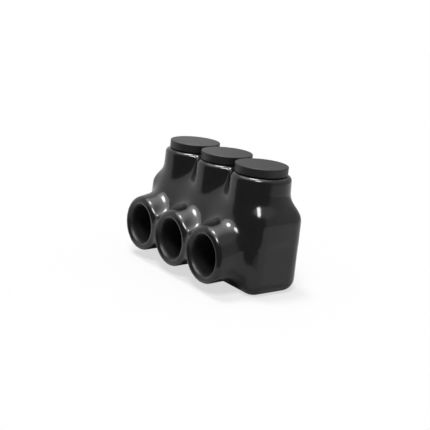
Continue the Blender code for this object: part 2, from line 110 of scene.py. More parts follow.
# %% [markdown]
# ## The moulded skin, as a distance
# The cover is made by dipping or moulding thick vinyl, so each form runs into the next with a soft
# fillet, and the fillets aren't all alike. A mesh of boxes and tubes with bevels can't follow that. A
# distance formula can. Each simple form gives its distance, negative inside, and a soft union of two
# distances rounds the corner between them. The skin is where the sum of it all is zero.

# %% Rounded unions and limits
CORNER_FRONT = 6.6 * MM
CORNER_BACK = 8.2 * MM
TOP_EDGE = 6.2 * MM
BOTTOM_EDGE = 5.7 * MM
BACK_SWELL = 0.5 * MM


def soft_union(a, b, blend):
    """Smaller of two distances. Where they differ by under blend, a quarter
    of the squared overlap is taken off, which rounds the inner corner."""
    overlap = np.maximum(blend - np.abs(a - b), 0.0) / blend
    return np.minimum(a, b) - overlap * overlap * blend / 4


def soft_limit(a, b, blend):
    """Larger of two distances, with the outer corner rounded the same way."""
    return -soft_union(-a, -b, blend)


def round_edge(side, end, radius):
    """Distance to a side and an end face that meet in a rounded edge: the
    corner point lies a radius inside both, and the distance to it counts."""
    u = side + radius
    v = end + radius
    return np.hypot(np.maximum(u, 0), np.maximum(v, 0)) + np.minimum(np.maximum(u, v), 0) - radius


def box_distance(x, y, z):
    """Box part: a rounded rectangle seen from above, with its top and bottom
    edges rounded as well. The back corners are wider than the front ones."""
    middle = (FRONT + BACK) / 2
    corner = np.where(y < middle, CORNER_FRONT, CORNER_BACK)
    across = np.abs(x) - (HALF_LENGTH - corner)
    along = np.abs(y - middle) - ((BACK - FRONT) / 2 - corner)
    outside = np.hypot(np.maximum(across, 0), np.maximum(along, 0))
    side = outside + np.minimum(np.maximum(across, along), 0) - corner
    return np.maximum(round_edge(side, z - SHOULDER, TOP_EDGE), round_edge(side, -z, BOTTOM_EDGE))


print(f"box part {2 * HALF_LENGTH / MM:.1f} x {(BACK - FRONT) / MM:.1f} x {SHOULDER / MM:.1f} mm")

# %% [markdown]
# Three towers stand on the shoulder, one over each screw. They overlap even at the rim, where a narrow
# groove marks the line between two of them, and run together more and more towards their feet. So the
# width of their blend grows with depth. The port tubes do much the same on the front, but each also rises
# on its upper side towards the body.

# %% Towers and tubes
TOWER_EDGE = 2.2 * MM
TOWER_TAPER = 0.037
TOWER_RADIUS = 13.8 * MM
TUBE_RADIUS = 12.65 * MM
TUBE_LIP = 2.5 * MM
TUBE_RISE = 0.222
TUBE_UNDERCUT = 0.034
TOWER_WEB_BLEND = 3.0 * MM
TOWER_VALLEY_BLEND = 15.0 * MM
TUBE_WEB_BLEND = 6.6 * MM
TUBE_VALLEY_BLEND = 17.0 * MM
SHOULDER_BLEND = 6.9 * MM
TUBE_ROOT_BLEND = 6.5 * MM
TUBE_CREST_BLEND = 6.0 * MM
TUBE_SOLE_BLEND = 4.0 * MM
WIDENING = 1.5
print(f"towers {2 * TOWER_RADIUS / MM:.1f} mm across, tubes {2 * TUBE_RADIUS / MM:.1f} mm across")


def tower_web(z):
    """Width of the blend between two towers: it grows with the depth under
    the rim to the power of the widening."""
    depth = np.clip((RIM - z) / (RIM - SHOULDER + TOWER_EDGE), 0, 1)
    return TOWER_WEB_BLEND + (TOWER_VALLEY_BLEND - TOWER_WEB_BLEND) * depth ** WIDENING


def tower_distance(x, y, z):
    """Row of three upright cones with a slight taper, rounded at the rim. They
    end below the shoulder, one and a half blends deep inside the box part."""
    radius = TOWER_RADIUS + TOWER_TAPER * (RIM - z)
    left, middle, right = (np.hypot(x - centre, y) - radius for centre in BAY_CENTRES)
    row = soft_union(soft_union(left, middle, tower_web(z)), right, tower_web(z))
    foot = SHOULDER - 1.5 * SHOULDER_BLEND
    return np.maximum(round_edge(row, z - RIM, TOWER_EDGE), foot - z)


def tube_side(x, y, z, centre):
    """One port tube along Y. Towards the body its radius grows on top, by the
    rise, and shrinks beside and below the axis, by the undercut."""
    height = z - PORT_AXIS
    distance = np.hypot(x - centre, height)
    upward = np.clip(height / np.maximum(distance, 1e-9), 0, 1)
    flare = (TUBE_RISE + TUBE_UNDERCUT) * upward ** WIDENING - TUBE_UNDERCUT
    return distance - (TUBE_RADIUS + flare * np.maximum(y - MOUTH, 0))


def tube_web(y, z):
    """Width of the blend between two tubes: on their upper side it grows
    with the way from the mouth to the body to the power of the widening."""
    inward = np.clip((y - MOUTH) / (FRONT - MOUTH), 0, 1) ** WIDENING
    upward = np.clip((z - PORT_AXIS) / TUBE_RADIUS, 0, 1)
    return TUBE_WEB_BLEND + (TUBE_VALLEY_BLEND - TUBE_WEB_BLEND) * inward * upward


def tube_distance(x, y, z):
    """Row of three port tubes with rounded lips."""
    left, middle, right = (tube_side(x, y, z, centre) for centre in BAY_CENTRES)
    web = tube_web(y, z)
    row = soft_union(soft_union(left, middle, web), right, web)
    return np.maximum(round_edge(row, MOUTH - y, TUBE_LIP), y)


def tube_root(z):
    """Width of the blend between the tubes and the body: widest beside the
    tubes, narrower on top, and narrower near the underside by the square."""
    upward = np.clip((z - PORT_AXIS) / TUBE_RADIUS, 0, 1)
    downward = np.clip((PORT_AXIS - z) / PORT_AXIS, 0, 1)
    return (TUBE_ROOT_BLEND + (TUBE_CREST_BLEND - TUBE_ROOT_BLEND) * upward
            + (TUBE_SOLE_BLEND - TUBE_ROOT_BLEND) * downward ** 2)


# %% [markdown]
# The hollows belong to the same formula. A port bore is cut out of the skin by a soft limit, and that
# gives its mouth the wide rounding which the photograph shows as a soft shade from the lip into the dark.
# The wells in the towers get a narrow one, under the plugs.

# %% Hollows, and the whole skin
PORT_BORE = 8.6 * MM
PORT_ROUNDING = 3.4 * MM
WELL_BORE = 9.7 * MM
WELL_ROUNDING = 0.9 * MM
HOLLOW_OVERLAP = 10.0 * MM
print(f"tube wall {(TUBE_RADIUS - PORT_BORE) / MM:.2f} mm,",
      f"tower wall {(TOWER_RADIUS - WELL_BORE) / MM:.2f} mm")


def nearest_bay(x):
    """Distance along X to the closest of the three bay centres."""
    return np.abs(np.asarray(x)[..., None] - BAY_CENTRES).min(axis=-1)


def skin_distance(points):
    """Distance to the cover's skin: box and towers run together at the
    shoulder, the back is kept flat, the tubes join at their roots, and then
    the port bores and the wells are taken out."""
    x, y, z = points.T
    body = soft_union(box_distance(x, y, z), tower_distance(x, y, z), SHOULDER_BLEND)
    body = soft_limit(body, y - BACK - BACK_SWELL, BACK_SWELL)
    body = soft_union(body, tube_distance(x, y, z), tube_root(z))
    port = np.maximum(np.hypot(nearest_bay(x), z - PORT_AXIS) - PORT_BORE,
                      y - block_low[1] - HOLLOW_OVERLAP)
    well = np.maximum(np.hypot(nearest_bay(x), y) - WELL_BORE,
                      block_high[2] - HOLLOW_OVERLAP - z)
    body = soft_limit(body, -port, PORT_ROUNDING)
    return soft_limit(body, -well, WELL_ROUNDING)


def settle(points, rounds=12, step=0.01 * MM):
    """Move points onto the skin: each round goes back along the slope of
    the distance, by the distance over the slope squared."""
    for _ in range(rounds):
        slope = np.empty_like(points)
        for axis in range(3):
            offset = np.eye(3)[axis] * step
            rise = skin_distance(points + offset) - skin_distance(points - offset)
            slope[:, axis] = rise / (2 * step)
        steepness = np.maximum((slope ** 2).sum(axis=1), 0.25)
        points = points - slope * (skin_distance(points) / steepness)[:, None]
    return points


# %% [markdown]
# ## From the formula to a mesh
# A voxel grid could find the zero surface, but it would leave stair steps and tiny faces. Here a coarse
# control net comes first: rows of points that follow the forms, round the towers, over the shoulder,
# down the walls and out along the tubes. Each patch of the net is split evenly in both directions and
# settled onto the skin, so that the edges of the faces run the way the object does.

# %% Outlines of the control net
COLUMNS = PITCH * np.array([-1.0, -0.7, -0.5, -0.3, 0.0, 0.3, 0.5, 0.7, 1.0])
WEB_COLUMNS = nearest_bay(COLUMNS) > 0.45 * PITCH
LOWEST_WEB = 0.35
WIDTH = len(COLUMNS) + 2
TOWER_END = np.radians([67.5, 45.0, 22.5, 0.0, -22.5, -45.0, -67.5])
TUBE_END = np.radians([60.0, 30.0, 0.0, -30.0, -60.0])


def closed_outline(top, right, bottom):
    """Outline from its top, left to right, its right side, downwards, and
    its bottom, right to left. The left side mirrors the right one."""
    return np.concatenate([top, right, bottom, right[::-1] * (-1, 1)])


def lobe_outline(radius, end_angles, web, rise=0.0):
    """Outline of three round lobes in a row: over each column it lies at the
    height of the circle there, and round the ends it follows the circle.
    Rise lifts the upper side, by the sine of the angle to the power of the
    widening. No web is lower than a share of the radius."""
    def height(reach):
        webbed = reach + np.where(WEB_COLUMNS, web / 4, 0.0)
        return np.sqrt(np.maximum(webbed ** 2 - nearest_bay(COLUMNS) ** 2, (LOWEST_WEB * webbed) ** 2))

    reach = radius + rise * np.maximum(np.sin(end_angles), 0) ** WIDENING
    end = np.stack([PITCH + reach * np.cos(end_angles), reach * np.sin(end_angles)], axis=1)
    mirrored = end * (-1, 1)
    top = np.stack([COLUMNS, height(radius + rise)], axis=1)
    bottom = np.stack([COLUMNS, -height(radius)], axis=1)[::-1]
    return closed_outline(np.vstack([mirrored[:1], top, end[:1]]), end[1:-1],
                          np.vstack([end[-1:], bottom, mirrored[-1:]]))


def arc(centre, radius, angles):
    """Points on a circle at these angles, and the directions outwards."""
    outward = np.stack([np.cos(angles), np.sin(angles)], axis=1)
    return np.array(centre) + radius * outward, outward


def box_outline(inset=0.0, slide=0.0):
    """Outline of the box part, moved in by inset. Slide is the share of the
    way round the front corners at which the front side stops."""
    turns = np.array([slide, (1 + slide) / 2, 1.0]) * math.pi / 2 - math.pi / 2
    front, front_out = arc((HALF_LENGTH - CORNER_FRONT, FRONT + CORNER_FRONT), CORNER_FRONT, turns)
    back, back_out = arc((HALF_LENGTH - CORNER_BACK, BACK - CORNER_BACK), CORNER_BACK,
                         np.radians([0.0, 45.0, 90.0]))
    line = np.stack([COLUMNS, np.zeros_like(COLUMNS)], axis=1)
    flip = (-1, 1)

    def around(corner, end, rear, side, far):
        return closed_outline(np.vstack([corner[:1] * flip, side, corner[:1]]),
                              np.vstack([corner[1:], end, rear[:2]]),
                              np.vstack([rear[2:], far[::-1], rear[2:] * flip]))

    place = around(front, [[HALF_LENGTH, 0.0]], back, line + (0, FRONT), line + (0, BACK))
    outward = around(front_out, [[1.0, 0.0]], back_out, line * 0 + (0, -1), line * 0 + (0, 1))
    return place - outward * np.broadcast_to(inset, len(place))[:, None]


print("points round the towers:", len(lobe_outline(TOWER_RADIUS, TOWER_END, 0.0)),
      "and round the box:", len(box_outline()))

# %% [markdown]
# A mouth or a rim is one face with three round holes in it, which no plain grid fits. It is divided half
# way between the bays into three cells. In each cell, rays run from the cell's edge to its own round
# hole and on down the bore, so the face edges go round every hole as they would on a turned part.

# %% Patches
SPLIT = 8
print(f"each cell of the net becomes {SPLIT} by {SPLIT} faces")


def refined(rows, closed):
    """Split a net of rows evenly, by linear steps across and along: each
    cell of four control points becomes a grid of SPLIT by SPLIT faces."""
    rows = np.array(rows)
    if closed:
        rows = np.concatenate([rows, rows[:, :1]], axis=1)
    share = np.arange(SPLIT)[:, None] / SPLIT

    def split(line):
        stride = line[1:, None] - line[:-1, None]
        steps = line[:-1, None] + stride * share.reshape(-1, *[1] * (line.ndim - 1))
        return np.concatenate([steps.reshape(-1, *line.shape[1:]), line[-1:]])

    return split(split(rows).swapaxes(0, 1)).swapaxes(0, 1)


def cell_loops(outline, side_count):
    """The three cells of an outline, as closed loops of its points. Cells
    share the point half way along the line that divides them."""
    top = outline[:WIDTH]
    right = outline[WIDTH:WIDTH + side_count]
    bottom = outline[WIDTH + side_count:2 * WIDTH + side_count][::-1]
    left = outline[2 * WIDTH + side_count:]
    cuts = [3, WIDTH - 4]
    middles = [(top[cut] + bottom[cut])[None] / 2 for cut in cuts]
    edges = [(0, cuts[0], left, middles[0]), (*cuts, middles[0], middles[1]),
             (cuts[1], WIDTH - 1, middles[1], right)]
    return [np.vstack([top[a:b + 1], after, bottom[a:b + 1][::-1], before])
            for a, b, before, after in edges]


def hole_rows(loop, centre, rings):
    """Net from a cell's edge to its round hole. Each ring has a radius and a
    depth, and its points lie in the same directions as those of the loop.
    The loop is flat, at depth 0, and the rows are (across, up, depth)."""
    ray = loop - (centre, 0.0)
    direction = ray / np.linalg.norm(ray, axis=1, keepdims=True)
    flat = [np.column_stack([loop, np.zeros(len(loop))])]
    for radius, depth in rings:
        flat.append(np.column_stack([(centre, 0.0) + direction * radius, np.full(len(loop), depth)]))
    return np.array(flat)


def grid_faces(height, width, start):
    """Four corners of each face of a grid of points, numbered from start."""
    corner = start + np.arange(height - 1)[:, None] * width + np.arange(width - 1)
    return np.stack([corner, corner + width, corner + width + 1, corner + 1], axis=-1).reshape(-1, 4)


# %% [markdown]
# Now the net of the whole cover. The patches meet point for point, so after settling they only have to
# be merged. Under each tube, the lower edge of the front dips, because the tube reaches down to where the
# bottom is already rounded. The rows of the shoulder lie at a share of the way from the towers' feet to
# the box's edge. Their heights are counted from the shoulder in blend widths: a level for the whole ring,
# and a lift in front of each bay. A row only has to lie near the skin, because settling moves it there.

# %% The net of the cover
def on_top(outline, height):
    """Lay a (x, forward) outline flat at a height above the underside."""
    return np.column_stack([outline[:, 0], -outline[:, 1], np.broadcast_to(height, len(outline))])


def on_front(outline, y):
    """Stand a (x, up) outline upright at a place along Y, round the ports."""
    return np.column_stack([outline[:, 0], np.full(len(outline), y), PORT_AXIS + outline[:, 1]])


def box_ring(height, inset=0.0, slide=0.0):
    """Ring of the box part at a height."""
    outline = box_outline(inset, slide)
    return np.column_stack([outline, np.broadcast_to(height, len(outline))])


crown = np.maximum(0, 1 - nearest_bay(box_outline()[:, 0]) / (PITCH / 2))
is_front = np.arange(len(crown)) < WIDTH
is_front_end = np.isin(np.arange(len(crown)), (0, WIDTH - 1))

tower_rows = [on_top(lobe_outline(radius, TOWER_END, tower_web(z)), z) for radius, z in (
    (TOWER_RADIUS - TOWER_EDGE, RIM), (TOWER_RADIUS, RIM - TOWER_EDGE),
    (TOWER_RADIUS, SHOULDER + SHOULDER_BLEND))]
tower_foot = on_top(lobe_outline(TOWER_RADIUS, TOWER_END, tower_web(SHOULDER)), SHOULDER)
box_top = box_ring(SHOULDER)
for share, level, lift in ((0.3, 0.35, 0.3), (0.8, -0.1, 0.45), (1.0, -0.85, 0.95)):
    row = tower_foot + (box_top - tower_foot) * share
    front_crown = np.where(is_front, np.maximum(0, 1 - nearest_bay(tower_foot[:, 0]) / (PITCH / 2)), 0)
    row[:, 2] = SHOULDER + (level + lift * front_crown) * SHOULDER_BLEND
    tower_rows.append(row)

bottom_rows = []
for share, dip in ((0.0, 0.6), (0.5, 0.3), (1.0, 0.0)):
    depth = np.maximum(np.sqrt(crown), 0.6 * is_front_end)
    angle = (share + dip * depth * is_front) * math.pi / 2
    bottom_rows.append(box_ring(BOTTOM_EDGE * (1 - np.sin(angle)), BOTTOM_EDGE * (1 - np.cos(angle))))

heights = PORT_AXIS + TUBE_RADIUS * np.sin(TUBE_END[1:-1])
wall = np.r_[WIDTH - 1:len(crown), 0]
wall_rows = [tower_rows[-1][wall]]
wall_rows += [box_ring(height, slide=slide)[wall] for height, slide in zip(heights, (0.45, 0.6, 0.45))]
wall_rows += [bottom_rows[0][wall]]

tube_rows = [np.vstack([tower_rows[-1][:WIDTH], [row[0] for row in wall_rows[1:-1]],
                        bottom_rows[0][:WIDTH][::-1], [row[-1] for row in wall_rows[-2:0:-1]]])]
tube_length = FRONT - MOUTH
root = tube_length / 4
for grow, reach in ((0.6 * root, -0.1 * root), (0.15 * root, 0.4 * root), (0.0, 1.1 * root),
                    (0.0, tube_length - TUBE_LIP), (-TUBE_LIP, tube_length)):
    outline = lobe_outline(TUBE_RADIUS + grow, TUBE_END, TUBE_WEB_BLEND, TUBE_RISE * (tube_length - reach))
    tube_rows.append(on_front(outline, FRONT - reach))


def base_rows(ring, side_count):
    """Net of a flat base: its front and back sides, and rows between them."""
    front = ring[:WIDTH]
    right = ring[WIDTH:WIDTH + side_count]
    back = ring[WIDTH + side_count:2 * WIDTH + side_count][::-1]
    left = ring[2 * WIDTH + side_count:][::-1]
    share = (np.arange(side_count) + 1)[:, None, None] / (side_count + 1)
    rows = front + (back - front) * share
    rows[:, 0] = left
    rows[:, -1] = right
    return np.concatenate([front[None], rows, back[None]])


PAST_BLOCK_FRONT = 0.4 * MM
PAST_BLOCK_TOP = 2.0 * MM
PORT_DEPTH = block_low[1] - MOUTH + PAST_BLOCK_FRONT
WELL_DEPTH = RIM - block_high[2] + PAST_BLOCK_TOP
PORT_RINGS = ((PORT_BORE + 0.25 * PORT_ROUNDING, 0.1 * PORT_ROUNDING),
              (PORT_BORE, 0.6 * PORT_ROUNDING), (PORT_BORE, 1.5 * PORT_ROUNDING), (PORT_BORE, PORT_DEPTH))
WELL_RINGS = ((WELL_BORE + 0.4 * WELL_ROUNDING, 0.0), (WELL_BORE, 0.6 * WELL_ROUNDING),
              (WELL_BORE, WELL_DEPTH))
patches = [(tower_rows, True, False), (wall_rows, False, False), (bottom_rows, True, False),
           (tube_rows, True, False), (base_rows(bottom_rows[-1], len(TOWER_END) - 2), False, False)]
mouth = tube_rows[-1][:, [0, 2]] - (0, PORT_AXIS)
for loop, centre in zip(cell_loops(mouth, len(TUBE_END) - 2), BAY_CENTRES):
    across, up, depth = np.moveaxis(hole_rows(loop, centre, PORT_RINGS), -1, 0)
    patches.append((np.stack([across, MOUTH + depth, PORT_AXIS + up], axis=-1), True, True))
rim = tower_rows[0][:, :2]
for loop, centre in zip(cell_loops(rim, len(TOWER_END) - 2), BAY_CENTRES):
    across, back, depth = np.moveaxis(hole_rows(loop, centre, WELL_RINGS), -1, 0)
    patches.append((np.stack([across, back, RIM - depth], axis=-1), True, True))
control_points = sum(np.array(rows)[..., 0].size for rows, _, _ in patches)
print("patches:", len(patches), "control points:", control_points)

# %% [markdown]
# The mesh of each piece goes through the same last steps: doubles merged, faces turned outwards, smooth
# shading with sharp edges where the form has them. The two shapes that a machinist would make first come
# here too: a turned part, from its profile, and a bar with rounded edges.

# %% Helpers for meshes
SHARP = math.radians(40)
MERGE = 0.001 * MM


def mesh_object(name, points, faces):
    """New object of the scene, from points and faces."""
    mesh = bpy.data.meshes.new(name)
    mesh.from_pydata(np.asarray(points).tolist(), [], faces)
    made = bpy.data.objects.new(name, mesh)
    bpy.context.scene.collection.objects.link(made)
    return made


def finish_mesh(piece):
    """Merge doubles, turn the faces outwards, shade smooth, and report."""
    form = bmesh.new()
    form.from_mesh(piece.data)
    bmesh.ops.remove_doubles(form, verts=form.verts, dist=MERGE)
    bmesh.ops.recalc_face_normals(form, faces=form.faces)
    open_edges = sum(not edge.is_manifold for edge in form.edges)
    form.to_mesh(piece.data)
    form.free()
    piece.data.shade_smooth()
    piece.data.set_sharp_from_angle(angle=SHARP)
    triangles = sum(len(face.vertices) - 2 for face in piece.data.polygons)
    print(f"{piece.name}: {triangles} triangles, {open_edges} open edges")
    return piece


def turned(name, profile, sides=96):
    """Turned form: x = radius cos angle, y = radius sin angle, z = height,
    for each (radius, height) of the profile and each angle round Z. The
    profile starts and ends on the axis."""
    radius, height = np.array(profile).T[..., None]
    angle = np.linspace(0, 2 * math.pi, sides + 1)
    points = np.stack(np.broadcast_arrays(radius * np.cos(angle), radius * np.sin(angle), height), axis=-1)
    return mesh_object(name, points.reshape(-1, 3), grid_faces(*points.shape[:2], 0).tolist())


def rounded_bar(name, low, high, radius, steps=8):
    """Bar with round edges: a rounded rectangle goes along X. Its corners
    have the radius times the cosine of a turn, and lie at the end's inner
    limit plus the radius times its sine, as the turn goes over the end."""
    half = (high - low) / 2 - radius
    turn = np.linspace(0, math.pi / 2, steps)
    sine = np.concatenate([-np.sin(turn)[::-1], np.sin(turn)])[:, None]
    cosine = np.concatenate([np.cos(turn)[::-1], np.cos(turn)])[:, None]
    quarter = np.repeat(np.arange(4), steps)
    angle = np.append((np.linspace(0, 1, steps) + np.arange(4)[:, None]).ravel() * math.pi / 2, 0.0)
    quarter = np.append(quarter, 0)
    x = half[0] * np.sign(sine) + radius * sine
    y = half[1] * np.array([1, -1, -1, 1])[quarter] + radius * cosine * np.cos(angle)
    z = half[2] * np.array([1, 1, -1, -1])[quarter] + radius * cosine * np.sin(angle)
    points = np.stack(np.broadcast_arrays(x, y, z), axis=-1) + (low + high) / 2
    count, width = points.shape[:2]
    ends = [list(range(width - 1)), list(range((count - 1) * width, count * width - 1))]
    return finish_mesh(mesh_object(name, points.reshape(-1, 3), grid_faces(count, width, 0).tolist() + ends))


def cut_out(piece, cutters):
    """Subtract the cutters by exact Booleans, keep the result as the mesh,
    and remove the cutters. Their own materials stay on the cut faces."""
    for cutter in cutters:
        modifier = piece.modifiers.new(cutter.name, "BOOLEAN")
        modifier.operation = "DIFFERENCE"
        modifier.solver = "EXACT"
        modifier.material_mode = "TRANSFER"
        modifier.object = cutter
    graph = bpy.context.evaluated_depsgraph_get()
    result = bpy.data.meshes.new_from_object(piece.evaluated_get(graph))
    piece.modifiers.clear()
    piece.data = result
    for cutter in cutters:
        bpy.data.objects.remove(cutter, do_unlink=True)
    return finish_mesh(piece)


# %% [markdown]
# ## Finishes
# A finish is a small tree of shader nodes. Blender adds and links nodes one at a time, which soon hides
# what the finish is made of. So a few helpers come first. They add a node with all its inputs, build a
# node group, and start a material on object coordinates, which stay with a piece when it moves.

# %% Helpers for nodes
def add_node(tree, kind, inputs, **settings):
    """Add a node. Its inputs are given by name or number: a socket is
    linked, and anything else is set as the value."""
    made = tree.nodes.new(kind)
    for name, value in settings.items():
        setattr(made, name, value)
    for key, value in inputs.items():
        if isinstance(value, bpy.types.NodeSocket):
            tree.links.new(value, made.inputs[key])
        else:
            made.inputs[key].default_value = value
    return made


def math_node(tree, operation, *values, **settings):
    """Add a Math node on sockets or numbers, and return its value."""
    inputs = dict(enumerate(values))
    return add_node(tree, "ShaderNodeMath", inputs, operation=operation, **settings).outputs[0]


def node_group(name, inputs, outputs):
    """New shader group with named inputs and outputs. It returns the group,
    its inputs as a dictionary of sockets, and its output node."""
    group = bpy.data.node_groups.new(name, "ShaderNodeTree")
    for socket, (kind, default) in inputs.items():
        made = group.interface.new_socket(socket, in_out="INPUT", socket_type=kind)
        if default is not None:
            made.default_value = default
    for socket, kind in outputs.items():
        group.interface.new_socket(socket, in_out="OUTPUT", socket_type=kind)
    entry = group.nodes.new("NodeGroupInput")
    return group, entry.outputs, group.nodes.new("NodeGroupOutput")


def use_group(tree, group, inputs):
    """Add a group to a material's nodes."""
    return add_node(tree, "ShaderNodeGroup", inputs, node_tree=group)


def new_material(name, color, roughness, metallic=0.0):
    """Material with a Principled BSDF, and object coordinates to build on."""
    made = bpy.data.materials.new(name)
    made.use_nodes = True
    tree = made.node_tree
    shader = tree.nodes["Principled BSDF"]
    shader.inputs["Base Color"].default_value = (*color, 1.0)
    shader.inputs["Roughness"].default_value = roughness
    shader.inputs["Metallic"].default_value = metallic
    return made, tree, shader, add_node(tree, "ShaderNodeTexCoord", {}).outputs["Object"]


def spread(tree, mask, low, high):
    """Map a mask of 0 to 1 onto a range of values."""
    return add_node(tree, "ShaderNodeMapRange", {"Value": mask, "To Min": low, "To Max": high}).outputs[0]


def add_relief(tree, shader, height):
    """Feed a height in metres to the shader's normal."""
    bump = add_node(tree, "ShaderNodeBump", {"Height": height, "Distance": 1.0, "Strength": 1.0})
    tree.links.new(bump.outputs[0], shader.inputs["Normal"])


# %% [markdown]
# Vinyl that is moulded or dipped never comes out as flat as glass. It has a slow waviness, which makes
# highlights wander, and a fine skin like orange peel. The plugs are the same stuff in a matte grade. So
# both take their relief from one node group, with the sizes as its inputs. The relief is in metres, and
# the Bump node is set to work in metres too, so that it keeps its true depth.

# %% The moulded vinyl's relief
MOTTLE_SCALE = 260.0

moulded_relief, entry, result = node_group(
    "moulded relief",
    {"Vector": ("NodeSocketVector", None), "Wave Length": ("NodeSocketFloat", 0.012),
     "Wave Depth": ("NodeSocketFloat", 0.00003), "Grain Size": ("NodeSocketFloat", 0.0005),
     "Grain Depth": ("NodeSocketFloat", 0.000002)},
    {"Height": "NodeSocketFloat", "Mottle": "NodeSocketFloat"})


def scaled_noise(tree, vector, size, detail):
    """Noise whose lumps have a size in metres, and its value."""
    scale = math_node(tree, "DIVIDE", 1.0, size)
    noise = add_node(tree, "ShaderNodeTexNoise", {"Vector": vector, "Scale": scale, "Detail": detail})
    return noise.outputs[0]


wave = scaled_noise(moulded_relief, entry["Vector"], entry["Wave Length"], 1.0)
grain = scaled_noise(moulded_relief, entry["Vector"], entry["Grain Size"], 2.0)
wave_height = math_node(moulded_relief, "MULTIPLY", wave, entry["Wave Depth"])
height = math_node(moulded_relief, "MULTIPLY_ADD", grain, entry["Grain Depth"], wave_height)
mottle = add_node(moulded_relief, "ShaderNodeTexNoise",
                  {"Vector": entry["Vector"], "Scale": MOTTLE_SCALE, "Detail": 5.0, "Roughness": 0.65})
moulded_relief.links.new(height, result.inputs["Height"])
moulded_relief.links.new(mottle.outputs[0], result.inputs["Mottle"])
print("group:", moulded_relief.name, "with", len(moulded_relief.nodes), "nodes")

# %% [markdown]
# The cover is glossy outside, but its port bores are formed by steel pins, which leave a satin surface.
# That is why each mouth shows a soft light on its lower side that fades into the dark. The pins' place
# is known, so the satin needs no map: it is wherever a point lies close to a bay's axis, in front of the
# block.

# %% Gloss vinyl of the cover
COVER_BLACK = (0.006, 0.006, 0.0062)
GLOSS = (0.12, 0.2)
SATIN = 0.55
SATIN_EDGE = 1.5 * MM

gloss_vinyl, tree, shader, place = new_material("black_gloss_vinyl", COVER_BLACK, roughness=0.15)
skin = use_group(tree, moulded_relief, {"Vector": place})
gloss = spread(tree, skin.outputs["Mottle"], *GLOSS)
ways = add_node(tree, "ShaderNodeSeparateXYZ", {0: place}).outputs
across = math_node(tree, "PINGPONG", ways["X"], PITCH / 2)
up = math_node(tree, "SUBTRACT", ways["Z"], PORT_AXIS)
radial = add_node(tree, "ShaderNodeCombineXYZ", {"X": across, "Y": up})
radius = add_node(tree, "ShaderNodeVectorMath", {0: radial.outputs[0]}, operation="LENGTH")
inside = add_node(tree, "ShaderNodeMapRange",
                  {"Value": radius.outputs["Value"], "From Min": PORT_BORE + SATIN_EDGE,
                   "From Max": PORT_BORE})
ahead = math_node(tree, "LESS_THAN", ways["Y"], block_low[1])
satin = math_node(tree, "MULTIPLY", inside.outputs[0], ahead)
finish = add_node(tree, "ShaderNodeMix", {"Factor": satin, 2: gloss, 3: SATIN})
tree.links.new(finish.outputs[0], shader.inputs["Roughness"])
add_relief(tree, shader, skin.outputs["Height"])
print("finish:", gloss_vinyl.name)

# %% [markdown]
# The plugs are black as well, but matte, as from a blasted mould. A lighter grey would look right under
# this light only. So their colour stays close to the cover's, and the difference lies in the finish: the
# same relief with a finer and deeper grain, and a higher roughness.

# %% Matte vinyl of the plugs
PLUG_BLACK = (0.0095, 0.0095, 0.0095)
MATTE = (0.38, 0.52)

matte_vinyl, tree, shader, place = new_material("black_matte_vinyl", PLUG_BLACK, roughness=0.45)
skin = use_group(tree, moulded_relief, {"Vector": place, "Wave Length": 0.006, "Wave Depth": 0.00002,
                                        "Grain Size": 0.0003, "Grain Depth": 0.000012})
tree.links.new(spread(tree, skin.outputs["Mottle"], *MATTE), shader.inputs["Roughness"])
add_relief(tree, shader, skin.outputs["Height"])
print("finish:", matte_vinyl.name)

# %% [markdown]
# The patches of the cover are merged into one closed form. The block's room is cut out of its inside
# last, with a rounded bar a little larger than the block. Hardly anything of that cut shows, so it needs
# no finer way, and it opens the bores and the wells into the room.

# %% Build the cover
ROOM_GAP = 0.3 * MM
BLOCK_EDGE = 2.0 * MM


def moulded_cover():
    """Refine each patch of the net, settle all their points on the skin at
    once, join them, and close the inner end of each bore."""
    grids = [refined(rows, closed) for rows, closed, _ in patches]
    points = settle(np.concatenate([grid.reshape(-1, 3) for grid in grids]))
    faces = []
    start = 0
    for grid, (_, _, capped) in zip(grids, patches):
        height, width = grid.shape[:2]
        faces += grid_faces(height, width, start).tolist()
        start += height * width
        if capped:
            faces.append(list(range(start - width, start - 1)))
    return finish_mesh(mesh_object("moulded_cover", points, faces))


cover = moulded_cover()
room = rounded_bar("block_room", block_low - ROOM_GAP, block_high + ROOM_GAP, BLOCK_EDGE + ROOM_GAP)
cover.data.materials.append(gloss_vinyl)
room.data.materials.append(gloss_vinyl)
cut_out(cover, [room])
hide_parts("insulation_cover")
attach(cover, "connector")

# %% [markdown]
# ## Access plugs
# A plug is a flat cap on a short hollow stem, with two ribs that grip the well of its tower. It is
# moulded in a two-part form and is as round as a turned part. So its profile is drawn once, and each
# corner gets its radius from a short curve, with a point close by on either side to keep the flats flat.

# %% Build the plugs
PLUG_THICKNESS = 3.7 * MM
PLUG_EDGE = 0.4 * MM
PLUG_STEM = 8.9 * MM
PLUG_BORE = 7.1 * MM
PLUG_RIB = 0.5 * MM
SMALL_EDGE = 0.12 * MM
EDGE_POINTS = 5
GUARD = 1.3


def rounded(profile, radii):
    """Profile with its corners rounded. A corner P between A and B becomes
    the curve (1-t)^2 A' + 2 t (1-t) P + t^2 B', where A' and B' lie a radius
    from P on its two sides. A guard point beyond each, at 1.3 radii, keeps
    the sides straight."""
    profile = np.array(profile)
    corner = profile[1:-1, None]
    radius = np.array(radii)[:, None, None]
    before = profile[:-2, None] - corner
    after = profile[2:, None] - corner
    before = before / np.linalg.norm(before, axis=-1, keepdims=True) * radius
    after = after / np.linalg.norm(after, axis=-1, keepdims=True) * radius
    t = np.linspace(0, 1, EDGE_POINTS)[None, :, None]
    curve = corner + (1 - t) ** 2 * before + t ** 2 * after
    points = np.concatenate([corner + GUARD * before, curve, corner + GUARD * after], axis=1)
    return np.vstack([profile[:1], points.reshape(-1, 2), profile[-1:]])


